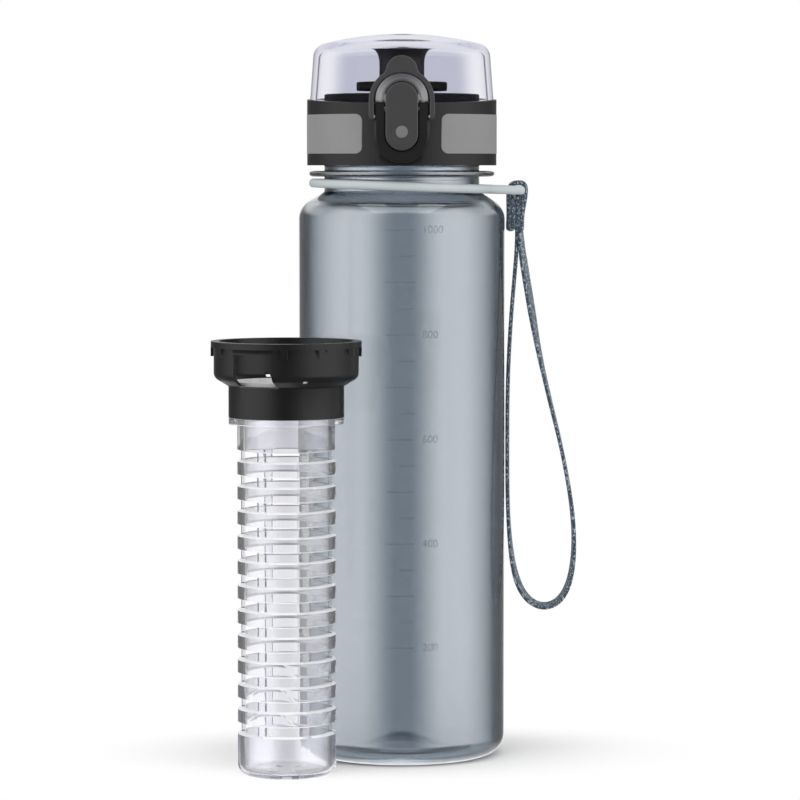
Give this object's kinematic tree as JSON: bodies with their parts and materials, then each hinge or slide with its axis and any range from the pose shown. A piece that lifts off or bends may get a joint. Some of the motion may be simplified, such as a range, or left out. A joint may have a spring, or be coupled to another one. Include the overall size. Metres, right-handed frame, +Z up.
{
  "type": "fruit infuser water bottle",
  "caption": "Clear wide-neck drinking bottle with a flip-top screw lid, a locking latch, a carrying ring with a wrist strap, and a slotted fruit infuser standing beside it.",
  "frame": {"origin": "centre of the bottle's foot ring, on the surface it stands on", "axes": "+Z up the bottle's axis, -Y towards the latch on the lid's front, +X towards the wrist strap"},
  "size_m": [0.1401, 0.1252, 0.2801],
  "materials": {
    "tinted_clear": "clear blue-grey tinted plastic, polished",
    "clear": "clear colourless plastic, polished",
    "lid_black": "satin black moulded plastic",
    "latch_black": "fine matte black moulded plastic",
    "hasp_grey": "satin dark grey plastic",
    "post_grey": "satin dark grey plastic",
    "seal_black": "black soft seal",
    "grip_grey": "mid grey soft grip",
    "dot_grey": "mid grey plastic inlay",
    "pale_silicone": "pale grey silicone",
    "gasket": "translucent white silicone",
    "webbing": "slate blue woven webbing with pale flecks",
    "steel": "plain steel",
    "hopper_black": "black moulded plastic",
    "strainer_grey": "pale grey plastic"
  },
  "bodies": {
    "bottle": {"bottle_body": "tinted_clear"},
    "ring": {"carry_ring": "pale_silicone", "strap_eye": "webbing", "strap_loop": "webbing"},
    "gasket": {"neck_gasket": "gasket"},
    "lid": {"lid_shell": "lid_black", "lid_liner": "lid_black", "grip_band": "grip_grey", "hinge_pin": "steel", "hinge_spring": "steel", "lever_pin": "steel", "lever_spring": "steel", "bail_pins": "steel"},
    "dome": {"dome": "clear", "hasp": "hasp_grey", "stopper_post": "post_grey", "stopper_seal": "seal_black"},
    "bail": {"locking_bail": "latch_black"},
    "lever": {"release_lever": "latch_black", "press_dot": "dot_grey"},
    "infuser": {"infuser_tube": "clear"},
    "hopper": {"infuser_hopper": "hopper_black", "infuser_strainer": "strainer_grey"}
  },
  "joints": [
    {"name": "lid_rise", "type": "slide", "parent": "bottle", "child": "gasket", "axis": [0, 0, 1], "range_m": [0, 0.00601]},
    {"name": "lid_turn", "type": "hinge", "parent": "gasket", "child": "lid", "pos_m": [0, 0, 0.24], "axis": [0, 0, 1], "range_deg": [0, 540]},
    {"name": "dome_hinge", "type": "hinge", "parent": "lid", "child": "dome", "pos_m": [0, 0.0402, 0.25337], "axis": [-1, 0, 0], "range_deg": [0, 125]},
    {"name": "bail_swing", "type": "hinge", "parent": "lid", "child": "bail", "pos_m": [0, -0.0414, 0.2476], "axis": [1, 0, 0], "range_deg": [0, 165]},
    {"name": "lever_press", "type": "hinge", "parent": "lid", "child": "lever", "pos_m": [0, -0.0402, 0.2505], "axis": [1, 0, 0], "range_deg": [0, 8], "stiffness_Nm_per_rad": 0.02, "deforming": ["lever_spring"]},
    {"name": "ring_swivel", "type": "hinge", "parent": "bottle", "child": "ring", "pos_m": [0, 0, 0.2213], "axis": [0, 0, 1], "range_deg": [-80, 180]},
    {"name": "infuser_lift", "type": "slide", "parent": "bottle", "child": "infuser", "axis": [0, 0, 1], "range_m": [0, 0.06]},
    {"name": "hopper_twist", "type": "hinge", "parent": "infuser", "child": "hopper", "pos_m": [-0.0433, -0.05347, 0.14], "axis": [0, 0, 1], "range_deg": [0, 50]}
  ],
  "couplings": [
    {"joint": "lid_rise", "follows": "lid_turn", "m_per_rad": 0.00063662}
  ]
}
